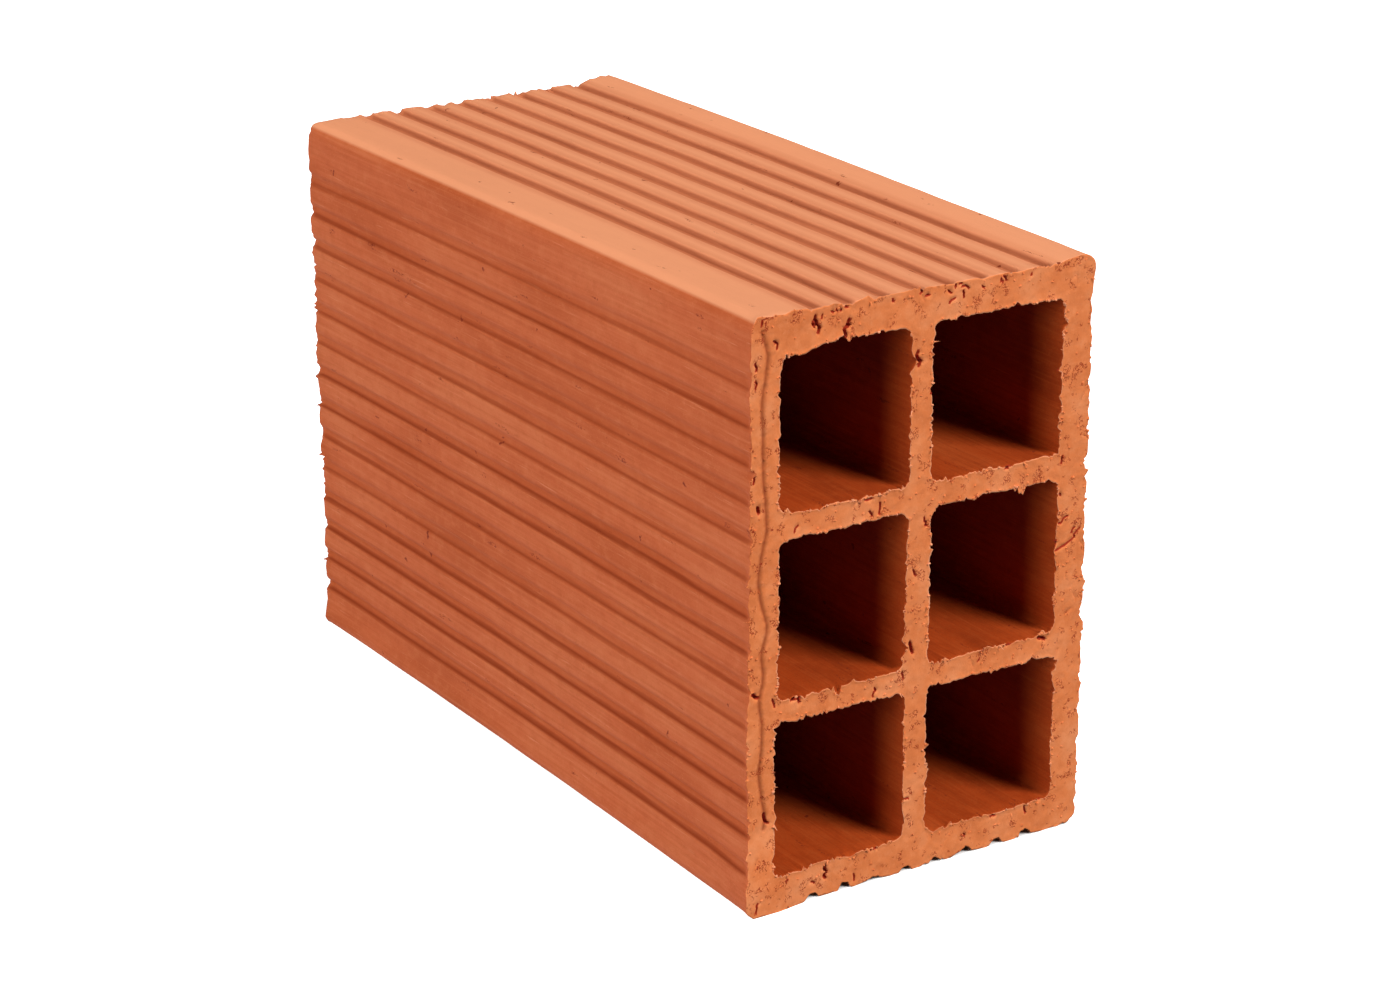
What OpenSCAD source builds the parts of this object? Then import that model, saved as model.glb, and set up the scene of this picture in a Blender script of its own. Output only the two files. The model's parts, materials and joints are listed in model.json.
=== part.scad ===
// Hollow clay brick with six cells, extruded through a die, cut to length by wire and fired.
// The cells run along X. The brick stands on a narrow grooved bed face, and Z is up.
// The origin is at the middle of the bottom bed face.

/* [Brick] */
// Length along the cells, between the two wire-cut ends
brick_length = 225; // [120:1:400]
// Width across the bed faces
brick_width = 100; // [80:1:150]
// Height between the bed faces
brick_height = 150; // [110:1:240]
// Radius of the four long outer edges
edge_radius = 4; // [1:0.5:6]

/* [Cells] */
// Number of cell columns across the width
cell_columns = 2; // [1:1:3]
// Number of cell rows over the height
cell_rows = 3; // [1:1:4]
// Thickness of the two tall side walls, measured from the face of the ribs
side_wall = 8.2; // [6:0.2:12]
// Thickness of the walls under the two bed faces, measured from the face of the ribs
bed_wall = 9; // [6:0.5:12]
// Thickness of the webs between the cells
web = 6.6; // [4:0.2:10]
// Radius in the corners of the cells
cell_radius = 2.5; // [1:0.5:6]

/* [Grooves] */
// Depth of the grooves in the four long faces
groove_depth = 1.4; // [0.5:0.1:3]
// Width of a groove at its mouth
groove_mouth = 5; // [3.5:0.1:6]
// Width of a groove at its floor
groove_floor = 2.4; // [1:0.1:3.5]
// Distance between grooves on the two bed faces
bed_pitch = 9.7; // [8:0.05:14]
// Plain land beside the first groove of a bed face
bed_land = 16; // [8:0.5:24]
// Least plain land beside the last groove of a bed face
bed_end_land = 10; // [7:0.5:20]
// Distance between grooves on the two tall side faces
side_pitch = 9.35; // [8:0.05:14]
// Plain land above the first groove of a side face
side_land = 13; // [8:0.5:24]
// Least plain land below the last groove of a side face
side_end_land = 9; // [7:0.5:20]

/* [Hidden] */
$fn = 48;
clay = "#CC6F45";
// How far a groove cutter reaches outside the face that it cuts
cut_past = 1;
cell_width = (brick_width - 2 * side_wall - (cell_columns - 1) * web) / cell_columns;
cell_height = (brick_height - 2 * bed_wall - (cell_rows - 1) * web) / cell_rows;
// A narrow cell takes a smaller corner
cell_corner = min(cell_radius, cell_width / 2.5, cell_height / 2.5);
bed_grooves = groove_count(brick_width, bed_land, bed_end_land, bed_pitch);
side_grooves = groove_count(brick_height, side_land, side_end_land, side_pitch);

// How many grooves fit on a face between its two plain lands
function groove_count(face, land, end_land, pitch) =
    1 + floor((face - land - end_land - groove_mouth) / pitch);

// A rectangle with round corners, its lower left corner at the origin
module rounded_rectangle(width, height, radius) {
    translate([radius, 0])
        square([width - 2 * radius, height]);
    translate([0, radius])
        square([width, height - 2 * radius]);
    for (x = [radius, width - radius], y = [radius, height - radius])
        translate([x, y])
            circle(r = radius);
}

// The six cells that the cores of the die leave
module cells() {
    for (column = [0 : cell_columns - 1], row = [0 : cell_rows - 1])
        translate([
            side_wall + column * (cell_width + web),
            bed_wall + row * (cell_height + web)
        ])
            rounded_rectangle(cell_width, cell_height, cell_corner);
}

// One groove in the face y = 0, cut upwards, its middle at x = 0
module groove() {
    slope = (groove_mouth - groove_floor) / 2 / groove_depth;
    outside = groove_mouth / 2 + slope * cut_past;
    polygon([
        [-outside, -cut_past],
        [outside, -cut_past],
        [groove_floor / 2, groove_depth],
        [-groove_floor / 2, groove_depth]
    ]);
}

// The row of grooves in the face y = 0, from its first land onwards
module groove_row(count, land, pitch) {
    for (index = [0 : count - 1])
        translate([land + groove_mouth / 2 + index * pitch, 0])
            groove();
}

// The grooves of the bottom bed face
module bed_face_grooves() {
    groove_row(bed_grooves, bed_land, bed_pitch);
}

// The grooves of the near side face, from the top down
module side_face_grooves() {
    translate([0, brick_height])
        rotate(-90)
            groove_row(side_grooves, side_land, side_pitch);
}

// The section of the die, with like grooves in opposite faces
module section() {
    difference() {
        rounded_rectangle(brick_width, brick_height, edge_radius);
        cells();
        bed_face_grooves();
        translate([0, brick_height])
            mirror([0, 1])
                bed_face_grooves();
        side_face_grooves();
        translate([brick_width, 0])
            mirror([1, 0])
                side_face_grooves();
    }
}

// The whole brick, with the widest land of each bed face towards -Y
module brick() {
    color(clay)
        translate([0, -brick_width / 2, 0])
            rotate([90, 0, 90])
                linear_extrude(height = brick_length, center = true)
                    section();
}

brick();
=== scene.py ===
"""Looks of a hollow fired clay brick, built around its fixed frame.

Stiff clay was pushed through a die, which drew the grooves and the fine streaks of the long
faces. A wire then cut the column to length, which tore the two ends open, and the kiln turned
the clay orange. The brick is one piece, so its surface is one closed mesh. Sizes are in
millimetres until a mesh is made.
"""
from __future__ import annotations

import json
import logging
import math
from dataclasses import dataclass, field
from enum import IntEnum

import bpy
import numpy as np
from mathutils import Matrix, Vector
from mathutils.geometry import delaunay_2d_cdt

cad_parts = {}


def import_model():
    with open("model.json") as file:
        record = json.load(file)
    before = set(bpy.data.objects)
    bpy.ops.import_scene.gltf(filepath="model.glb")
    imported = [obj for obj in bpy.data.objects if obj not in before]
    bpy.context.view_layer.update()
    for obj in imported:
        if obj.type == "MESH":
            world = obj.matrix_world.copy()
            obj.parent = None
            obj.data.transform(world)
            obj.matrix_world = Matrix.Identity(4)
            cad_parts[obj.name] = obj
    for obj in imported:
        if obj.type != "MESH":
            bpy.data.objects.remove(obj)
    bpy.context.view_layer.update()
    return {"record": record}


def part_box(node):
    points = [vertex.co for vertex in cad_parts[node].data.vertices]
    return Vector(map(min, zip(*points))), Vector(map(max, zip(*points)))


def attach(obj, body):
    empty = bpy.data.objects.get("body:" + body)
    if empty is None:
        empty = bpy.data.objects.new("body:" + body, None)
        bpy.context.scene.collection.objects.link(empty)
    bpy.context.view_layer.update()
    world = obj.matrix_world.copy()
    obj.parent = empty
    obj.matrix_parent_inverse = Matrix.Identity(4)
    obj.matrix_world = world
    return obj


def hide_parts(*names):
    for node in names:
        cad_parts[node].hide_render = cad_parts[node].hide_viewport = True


LOG = logging.getLogger("clay_brick")
MM = 0.001


class Region(IntEnum):
    """The three kinds of surface on the brick, in the order of its material slots."""

    SKIN = 0
    CUT = 1
    CORE = 2


# ---------------------------------------------------------------------------------------------
# Nodes
# ---------------------------------------------------------------------------------------------


def linear(hex_colour: str) -> tuple[float, float, float, float]:
    """Turn an sRGB hex colour into linear light.

    Args:
        hex_colour: Six hex digits after a hash.

    Returns:
        Red, green, blue and an alpha of one.
    """
    values = [int(hex_colour[i : i + 2], 16) / 255 for i in (1, 3, 5)]
    light = [v / 12.92 if v <= 0.04045 else ((v + 0.055) / 1.055) ** 2.4 for v in values]
    return (*light, 1.0)


def add(tree: bpy.types.NodeTree, kind: str, inputs: dict | None = None, **settings) -> bpy.types.Node:
    """Add one node with its settings, values and links.

    Args:
        tree: The tree that gets the node.
        kind: The node's type name.
        inputs: What goes into each input, by its name or number: a value, a socket or a node,
            whose first output is taken.
        settings: Properties of the node.

    Returns:
        The new node.
    """
    node = tree.nodes.new(kind)
    for name, value in settings.items():
        setattr(node, name, value)
    for key, value in (inputs or {}).items():
        socket = node.inputs[key]
        if isinstance(value, bpy.types.Node):
            tree.links.new(value.outputs[0], socket)
        elif isinstance(value, bpy.types.NodeSocket):
            tree.links.new(value, socket)
        else:
            socket.default_value = value
    return node


def geometry_tree(name: str, inputs: dict[str, object]) -> bpy.types.NodeTree:
    """Start a Geometry Nodes tree with named inputs.

    Args:
        name: The tree's name.
        inputs: Each input's name and its value, or the socket type where it has none.

    Returns:
        The tree, with a geometry input and output and no nodes yet.
    """
    tree = bpy.data.node_groups.new(name, "GeometryNodeTree")
    tree.interface.new_socket("Geometry", in_out="OUTPUT", socket_type="NodeSocketGeometry")
    tree.interface.new_socket("Geometry", in_out="INPUT", socket_type="NodeSocketGeometry")
    for label, value in inputs.items():
        kind = value if isinstance(value, str) else "NodeSocketFloat"
        kind = "NodeSocketInt" if isinstance(value, int) else kind
        socket = tree.interface.new_socket(label, in_out="INPUT", socket_type=kind)
        if not isinstance(value, str):
            socket.default_value = value
    return tree


def run_tree(piece: bpy.types.Object, tree: bpy.types.NodeTree, values: dict[str, object]) -> None:
    """Run a tree on a piece and keep the result as its plain mesh.

    Args:
        piece: The piece whose mesh goes in and is replaced.
        tree: The Geometry Nodes tree.
        values: The value or object for each named input that differs from its default.
    """
    modifier = piece.modifiers.new(tree.name, "NODES")
    modifier.node_group = tree
    for item in tree.interface.items_tree:
        if item.item_type == "SOCKET" and item.in_out == "INPUT" and item.name in values:
            modifier[item.identifier] = values[item.name]
    bpy.context.view_layer.update()
    evaluated = piece.evaluated_get(bpy.context.evaluated_depsgraph_get())
    mesh = bpy.data.meshes.new_from_object(evaluated)
    piece.modifiers.remove(modifier)
    piece.data = mesh


# ---------------------------------------------------------------------------------------------
# Finishes
# ---------------------------------------------------------------------------------------------


@dataclass(frozen=True)
class FiredClay:
    """Terracotta as the kiln leaves it: matte, porous and uneven in colour.

    Attributes:
        name: The material's name.
        body: The colour of most of the surface.
        pale: The colour of dusty, less fired patches.
        deep_and_groove_shade: The colour of richer, redder patches and grains, and of the painted shade in
            the grooves.
        bed: The colour of the skin on the two bed faces, where fine clay dried pale and a painted sheen lies;
            also of the scratches and of the painted highlight on the rims.
        crease: The colour of the painted shade along the steep walls of the grooves and in the seam.
        pit_and_crack_shade: The colour of the painted shade in the pits and cracks.
        tear_shade: The colour of the painted shade in the tears.
        patch: Length and width of a colour patch in millimetres.
        streak: Length and spacing of the die's drag lines in millimetres.
        grain: Size of the sand grains in millimetres, drawn coarse enough to show.
        pit: Spacing of the scattered pits in millimetres.
        pit_size: Radius of the largest pit, as a share of their spacing.
        pit_share: Share of the spots that hold a pit.
        crack: Length and width of the patches that hold cracks in millimetres.
        crack_share: How much of the surface those patches cover, about.
        streak_height: Height of the drag lines in millimetres.
        grain_height: Height of the grain in millimetres.
        streak_colour: How much the drag lines show in colour.
        grain_colour: How much the grain shows in colour.
        scratch: How much the short pale scratches along the brick show.
        groove: How much the grooves are darker than the ribs between them, as painted shade and less pale
            clay.
        bed_bloom_and_sheen_share: How much of the pale bed colour, bloom and painted sheen, the finish takes.
        roughness: Roughness of the bare clay.
        gloss: Strength of the faint surface reflection.
    """

    name: str
    body: str
    pale: str
    deep_and_groove_shade: str
    bed: str
    crease: str = "#8A3410"
    pit_and_crack_shade: str = "#7A2A10"
    tear_shade: str = "#A02C12"
    patch: tuple[float, float] = (70.0, 22.0)
    streak: tuple[float, float] = (60.0, 0.9)
    grain: float = 0.45
    pit: float = 7.0
    pit_size: float = 0.1
    pit_share: float = 0.5
    crack: tuple[float, float] = (12.0, 2.5)
    crack_share: float = 0.1
    streak_height: float = 0.06
    grain_height: float = 0.04
    streak_colour: float = 0.4
    grain_colour: float = 0.2
    scratch: float = 0.0
    groove: float = 0.0
    bed_bloom_and_sheen_share: float = 0.0
    roughness: float = 0.8
    gloss: float = 0.15

    def build(self) -> bpy.types.Material:
        """Build the material.

        Returns:
            The finished material.
        """
        material = bpy.data.materials.new(self.name)
        material.use_nodes = True
        tree = material.node_tree
        tree.nodes.clear()
        place = add(tree, "ShaderNodeTexCoord").outputs["Object"]
        waves = {}
        for label, (long, wide), detail in (
            ("patch", self.patch, 4.0), ("streak", self.streak, 4.0),
            ("grain", (self.grain, self.grain), 2.0), ("blotch", (self.grain * 9, self.grain * 7), 3.0),
            ("scratch", (16.0, 0.5), 3.0), ("cracked", self.crack, 2.0), ("crack", (1.4, 0.9), 2.0),
        ):
            stretch = (1 / (long * MM), 1 / (wide * MM), 1 / (wide * MM))
            pulled = add(tree, "ShaderNodeVectorMath", {0: place, 1: stretch}, operation="MULTIPLY")
            waves[label] = add(
                tree, "ShaderNodeTexNoise",
                {"Vector": pulled, "Scale": 1.0, "Detail": detail, "Roughness": 0.6},
            ).outputs["Fac"]
        marks = {
            label: add(tree, "ShaderNodeAttribute", attribute_name=label).outputs["Fac"]
            for label in ("torn", "seam", "lip", "hollow", "crease", "bed")
        }
        frayed = add(
            tree, "ShaderNodeMath", {0: waves["grain"], 1: 0.5, 2: marks["torn"]}, operation="MULTIPLY_ADD"
        )
        marks["torn"] = add(
            tree, "ShaderNodeMapRange", {"Value": frayed, "From Min": 0.45, "From Max": 0.6}
        ).outputs[0]
        marks["lip"] = add(
            tree, "ShaderNodeMath", {0: waves["blotch"], 1: marks["lip"]}, operation="MULTIPLY"
        ).outputs[0]
        pits = self.pits(tree, place, waves)
        shader = add(
            tree, "ShaderNodeBsdfPrincipled",
            {
                "Base Color": self.colour(tree, waves, marks, pits), "Roughness": self.roughness,
                "IOR": 1.5, "Specular IOR Level": self.gloss, "Normal": self.bump(tree, waves),
            },
        )
        add(tree, "ShaderNodeOutputMaterial", {"Surface": shader})
        return material

    def pits(self, tree: bpy.types.NodeTree, place: bpy.types.NodeSocket,
             waves: dict) -> bpy.types.Node:
        """Scatter small ragged pits, and short curling cracks in patches.

        Args:
            tree: The material's tree.
            place: Object coordinates.
            waves: The noises by name.

        Returns:
            A mask that is one in the pits and cracks, where the finish paints their shade.
        """
        size = self.pit * MM
        ragged = add(tree, "ShaderNodeTexNoise", {"Vector": place, "Scale": 4.5 / size, "Detail": 3.0})
        shift = add(
            tree, "ShaderNodeVectorMath",
            {0: ragged.outputs["Color"], 1: (0.5, 0.5, 0.5)}, operation="SUBTRACT",
        )
        moved = add(
            tree, "ShaderNodeVectorMath", {0: shift, 1: (0.6 * size,) * 3, 2: place},
            operation="MULTIPLY_ADD",
        )
        moved = add(
            tree, "ShaderNodeVectorMath", {0: moved, 1: (1 / size, 1 / size, 0.65 / size)},
            operation="MULTIPLY",
        )
        cells = add(tree, "ShaderNodeTexVoronoi", {"Vector": moved, "Scale": 1.0})
        luck = add(tree, "ShaderNodeSeparateColor", {"Color": cells.outputs["Color"]})
        radius = add(
            tree, "ShaderNodeMapRange",
            {"Value": luck, "From Min": 1 - self.pit_share, "From Max": 1.0,
             "To Min": -0.02, "To Max": self.pit_size},
        )
        depth = add(
            tree, "ShaderNodeMath", {0: radius, 1: cells.outputs["Distance"]}, operation="SUBTRACT"
        )
        pits = add(tree, "ShaderNodeMapRange", {"Value": depth, "From Min": -0.02, "From Max": 0.02})
        away = add(tree, "ShaderNodeMath", {0: waves["crack"], 1: 0.5}, operation="SUBTRACT")
        away = add(tree, "ShaderNodeMath", {0: away}, operation="ABSOLUTE")
        cracks = add(tree, "ShaderNodeMapRange", {"Value": away, "From Min": 0.05, "From Max": 0.02})
        edge = 0.72 - 0.6 * self.crack_share
        patches = add(
            tree, "ShaderNodeMapRange",
            {"Value": waves["cracked"], "From Min": edge, "From Max": edge + 0.05},
        )
        cracks = add(tree, "ShaderNodeMath", {0: cracks, 1: patches}, operation="MULTIPLY")
        return add(tree, "ShaderNodeMath", {0: pits, 1: cracks}, operation="MAXIMUM")

    def colour(self, tree: bpy.types.NodeTree, waves: dict, marks: dict,
               pits: bpy.types.Node) -> bpy.types.NodeSocket:
        """Lay the clay's colours over one another.

        Args:
            tree: The material's tree.
            waves: The noises by name.
            marks: The attributes by name.
            pits: The mask of the pits.

        Returns:
            The colour socket.
        """
        colour = linear(self.body)
        for value, low, high, strength, over in (
            (waves["patch"], 0.5, 0.75, 0.8, self.pale),
            (waves["patch"], 0.5, 0.28, 0.8, self.deep_and_groove_shade),
            (waves["blotch"], 0.52, 0.7, self.grain_colour * 1.4, self.deep_and_groove_shade),
            (waves["blotch"], 0.47, 0.3, self.grain_colour * 1.4, self.pale),
            (waves["streak"], 0.5, 0.72, self.streak_colour, self.deep_and_groove_shade),
            (waves["streak"], 0.48, 0.3, self.streak_colour, self.pale),
            (waves["grain"], 0.52, 0.72, self.grain_colour, self.deep_and_groove_shade),
            (waves["grain"], 0.38, 0.3, self.grain_colour * 2, self.pale),
            # Pale bloom of fine clay on the beds, partly a painted sheen
            (marks["bed"], 0.0, 1.0, self.bed_bloom_and_sheen_share, self.bed),
            (waves["scratch"], 0.64, 0.74, self.scratch, self.bed),
            # Painted shade in the grooves, together with their less pale clay
            (marks["hollow"], 0.0, 1.0, 0.5 * self.groove, self.deep_and_groove_shade),
            # Painted shade along the steep walls of the grooves
            (marks["crease"], 0.0, 1.0, 0.9 * self.groove, self.crease),
            # A painted highlight along the rims, where the burr catches the light
            (marks["lip"], 0.2, 0.5, 0.4, self.bed),
            # The seam painted in the crease colour, as the shade inside that crack
            (marks["seam"], 0.1, 0.9, 0.7, self.crease),
            # Painted shade in the pits and cracks, which have no depth of their own
            (pits, 0.0, 1.0, 0.93, self.pit_and_crack_shade),
            # Painted shade in the tears, on top of their own shadow
            (marks["torn"], 0.0, 1.0, 0.97, self.tear_shade),
        ):
            factor = add(
                tree, "ShaderNodeMapRange",
                {"Value": value, "From Min": low, "From Max": high, "To Min": 0.0, "To Max": strength},
            )
            colour = add(
                tree, "ShaderNodeMix", {0: factor, 6: colour, 7: linear(over)}, data_type="RGBA"
            ).outputs[2]
        return colour

    def bump(self, tree: bpy.types.NodeTree, waves: dict) -> bpy.types.Node:
        """Raise the drag lines and the grain.

        Args:
            tree: The material's tree.
            waves: The noises by name.

        Returns:
            The last bump node.
        """
        bump = None
        for name, height in (
            ("streak", self.streak_height), ("blotch", self.grain_height * 3), ("grain", self.grain_height),
        ):
            below = {"Normal": bump} if bump else {}
            bump = add(
                tree, "ShaderNodeBump",
                {"Height": waves[name], "Distance": height * MM, "Strength": 1.0, **below},
            )
        return bump


# Skin that slid along the steel die: close and smooth, with fine drag lines along the brick and
# a pale bloom of fine clay on the beds, partly a painted sheen.
DIE_SKIN = FiredClay(
    "terracotta_die_skin", "#C05D33", "#CE7347", "#A94A1E", bed="#E69B70", bed_bloom_and_sheen_share=0.8,
    streak_height=0.035, streak_colour=0.4, scratch=0.3, groove=1.0, crack_share=0.05,
)
# Clay torn open by the cutting wire: brighter, grainy and full of small pits and cracks painted dark as their
# shade.
WIRE_CUT = FiredClay(
    "terracotta_wire_cut", "#DD7C45", "#E69362", "#C76834", bed="#EBB291", pit_and_crack_shade="#8C2406",
    patch=(14.0, 14.0), streak=(1.6, 1.6), grain=0.5, pit=3.0, pit_size=0.19, pit_share=0.6,
    crack=(4.0, 4.0), crack_share=0.26, streak_height=0.05, grain_height=0.06,
    streak_colour=0.2, grain_colour=0.16,
)
# Skin drawn round the steel cores of the die, painted a darker, deeper red as the shade inside the cells.
SHADED_CELL_WALL = FiredClay(
    "terracotta_cell_wall", "#A74013", "#B35021", "#88300C", bed="#C4622F", patch=(60.0, 14.0),
    streak=(50.0, 0.8), pit=6.0, scratch=0.3, gloss=0.08,
)


# ---------------------------------------------------------------------------------------------
# The brick
# ---------------------------------------------------------------------------------------------


@dataclass(frozen=True)
class LongFace:
    """One long face in the section, walked anticlockwise as seen from the front end.

    Attributes:
        start: The sharp corner where the face begins, as (y, z).
        along: Unit direction of the walk.
        inward: Unit direction into the clay.
        length: Distance between the two sharp corners.
        first: Distance from the start to the middle of the first groove.
        pitch: Distance between grooves.
        count: Number of grooves.
        steep: Side of each groove where its steep wall is, along the walk or against it.
        smear: How much clay the wire dragged over the grooves' front ends.
        depths: Least and greatest depth of a groove, as shares of the usual one.
        bed: Whether this is a bed face.
    """

    start: tuple[float, float]
    along: tuple[float, float]
    inward: tuple[float, float]
    length: float
    first: float
    pitch: float
    count: int
    steep: float
    smear: float
    depths: tuple[float, float]
    bed: bool

    def rows(self, radius: float, reach: float, step: float, widest: float) -> np.ndarray:
        """Place the vertex rows across the face, close together where a groove goes.

        Args:
            radius: Radius of the long edges, where the rows begin and end.
            reach: Distance from a groove's middle to its last row.
            step: Distance between the rows of a groove.
            widest: Greatest distance between rows elsewhere.

        Returns:
            Distances from the start of the face.
        """
        across = np.linspace(-reach, reach, round(2 * reach / step) + 1)
        middles = self.first + self.pitch * np.arange(self.count)
        rows = np.concatenate([[radius], (middles[:, None] + across).ravel(), [self.length - radius]])
        filled = [rows[:1]]
        for low, high in zip(rows[:-1], rows[1:]):
            parts = max(1, math.ceil((high - low) / widest))
            filled.append(np.linspace(low, high, parts + 1)[1:])
        return np.concatenate(filled)


class Width(IntEnum):
    """How wide a tear gapes, the lamination seam last."""

    HAIR = 0
    SMALL = 1
    WIDE = 2
    SEAM = 3


@dataclass(frozen=True)
class Tear:
    """A tear that the wire left in the front end, from one point to another.

    Attributes:
        width: How wide it gapes.
        start: Distance from the near tall face and drop below the top bed face.
        run: How far it goes on away from the near face and down.
    """

    width: Width
    start: tuple[float, float]
    run: tuple[float, float]


@dataclass(frozen=True)
class Chip:
    """A place where a rim of the front end is chipped, or where a burr hangs from it.

    Attributes:
        middle: Distance from the near tall face and drop below the top bed face.
        reach: Half its length along the rim.
        depth: How far the rim moves into the clay; below nought it stands out of it.
    """

    middle: tuple[float, float]
    reach: float
    depth: float


FRONT_TEARS = (
    Tear(Width.WIDE, (18.3, 1.9), (-0.4, 2.2)), Tear(Width.WIDE, (18.7, 3.2), (0.7, 2.2)),
    Tear(Width.WIDE, (27.9, 4.4), (-1.2, 3.6)), Tear(Width.SMALL, (6.8, 6.4), (0.8, 0.5)),
    Tear(Width.SMALL, (7.6, 6.9), (-0.1, 1.3)), Tear(Width.SMALL, (60.8, 1.3), (1.6, 0.1)),
    Tear(Width.SMALL, (61.0, 2.4), (0.1, 1.2)), Tear(Width.SMALL, (73.3, 0.8), (0.5, 0.7)),
    Tear(Width.WIDE, (48.1, 15.6), (0.5, 3.4)), Tear(Width.SMALL, (1.5, 10.8), (0.4, 1.5)),
    Tear(Width.SMALL, (1.6, 15.4), (-0.3, 1.4)), Tear(Width.SMALL, (1.0, 37.0), (0.3, 2.4)),
    Tear(Width.WIDE, (2.4, 45.9), (0.3, 1.3)), Tear(Width.SMALL, (37.6, 51.2), (-0.3, 3.0)),
    Tear(Width.SMALL, (75.2, 49.4), (1.8, -0.3)), Tear(Width.SMALL, (33.2, 49.6), (1.7, 0.2)),
    Tear(Width.SMALL, (92.6, 67.0), (2.4, -1.5)), Tear(Width.SMALL, (92.2, 74.0), (6.0, -4.8)),
    Tear(Width.SMALL, (51.0, 57.6), (0.9, 1.9)), Tear(Width.SMALL, (48.2, 70.4), (0.3, 1.2)),
    Tear(Width.WIDE, (1.6, 92.4), (1.8, 1.2)), Tear(Width.WIDE, (47.6, 89.2), (0.7, 2.6)),
    Tear(Width.SMALL, (45.4, 96.2), (0.3, 1.6)), Tear(Width.SMALL, (37.2, 98.6), (-0.4, 1.8)),
    Tear(Width.WIDE, (13.0, 96.0), (2.2, 0.2)), Tear(Width.SMALL, (77.2, 96.0), (1.8, -0.2)),
    Tear(Width.WIDE, (87.4, 96.4), (1.8, 0.5)), Tear(Width.WIDE, (4.8, 124.0), (0.3, 2.2)),
    Tear(Width.WIDE, (22.6, 142.6), (-0.3, 2.8)), Tear(Width.SMALL, (18.8, 146.0), (0.5, 0.5)),
    Tear(Width.SMALL, (36.2, 141.6), (1.4, -0.3)), Tear(Width.SMALL, (73.2, 141.8), (1.6, 0.0)),
    Tear(Width.SMALL, (3.4, 146.4), (-0.4, 2.0)),
)
FRONT_CHIPS = (
    Chip((46.8, 17.2), 1.7, 1.0), Chip((46.8, 20.6), 0.8, -0.7), Chip((91.0, 38.6), 0.8, -0.6),
    Chip((91.0, 41.6), 1.0, -0.7), Chip((46.8, 87.6), 0.7, -0.9), Chip((46.8, 90.2), 0.6, 1.0),
    Chip((46.8, 92.6), 0.8, -1.0), Chip((53.2, 124.4), 1.6, -1.0), Chip((53.2, 127.4), 0.8, 0.5),
    Chip((90.0, 104.4), 1.2, 0.9), Chip((54.0, 102.6), 1.0, 0.7), Chip((81.0, 48.4), 1.2, -0.5),
    Chip((0.0, 38.0), 1.2, 0.8), Chip((0.0, 93.4), 1.5, 0.7), Chip((100.0, 62.2), 0.5, -0.8),
    Chip((13.0, 9.0), 5.5, -2.0), Chip((88.0, 94.6), 1.0, -0.6), Chip((60.0, 141.0), 1.4, -0.5),
    Chip((30.0, 141.0), 1.6, 0.5),
)
# How far each core of the die stood off its place: low y, high y, low z, high z, in the order of
# the cells.
CORE_SHIFTS = (
    (-0.45, -1.0, 0.2, -0.1), (0.3, -0.85, -0.8, 0.0), (0.0, -0.6, -0.2, 0.1),
    (-0.8, 0.0, 0.2, -0.6), (-0.35, 0.0, -0.8, 0.1), (-0.8, 0.0, -0.2, 0.2),
)


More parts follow.
